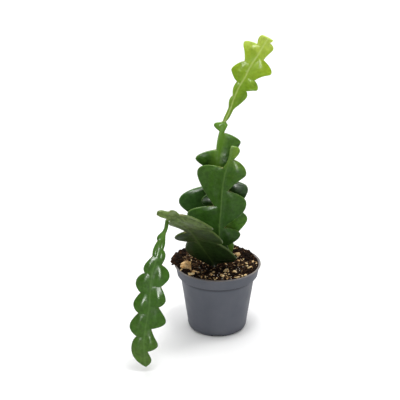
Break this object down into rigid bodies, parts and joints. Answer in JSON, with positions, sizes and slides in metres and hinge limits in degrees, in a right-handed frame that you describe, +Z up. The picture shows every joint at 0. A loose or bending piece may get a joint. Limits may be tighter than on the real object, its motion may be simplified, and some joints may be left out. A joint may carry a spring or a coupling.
{
  "type": "potted fishbone cactus",
  "caption": "Fishbone cactus with flat, deeply lobed zigzag stems and younger shoots, rooted in gritty soil in a round plastic nursery pot.",
  "frame": {"origin": "centre of the pot's underside, on the surface it stands on, on the pot's axis", "axes": "+Z up along the pot's axis; the plant's front, with the leaning stem and the hanging shoot, faces -Y and -X"},
  "size_m": [0.1627, 0.1694, 0.3633],
  "materials": {
    "pot_plastic": "matte blue-grey moulded polypropylene",
    "soil_mix": "dark brown coir and peat crumbs with pale wood chips",
    "stem_green": "waxy dark green skin with a paler midrib and margin",
    "stem_olive": "waxy olive green skin, darker towards the soil",
    "shoot_green": "glossy mid-green skin",
    "young_green": "fresh yellow-green young growth"
  },
  "bodies": {
    "root": {"pot": "pot_plastic", "soil": "soil_mix", "stem_tall": "stem_green", "stem_front": "stem_green", "stem_short": "stem_green", "stem_leaning": "stem_olive", "shoot_hanging": "shoot_green", "shoot_top": "young_green"}
  },
  "joints": []
}
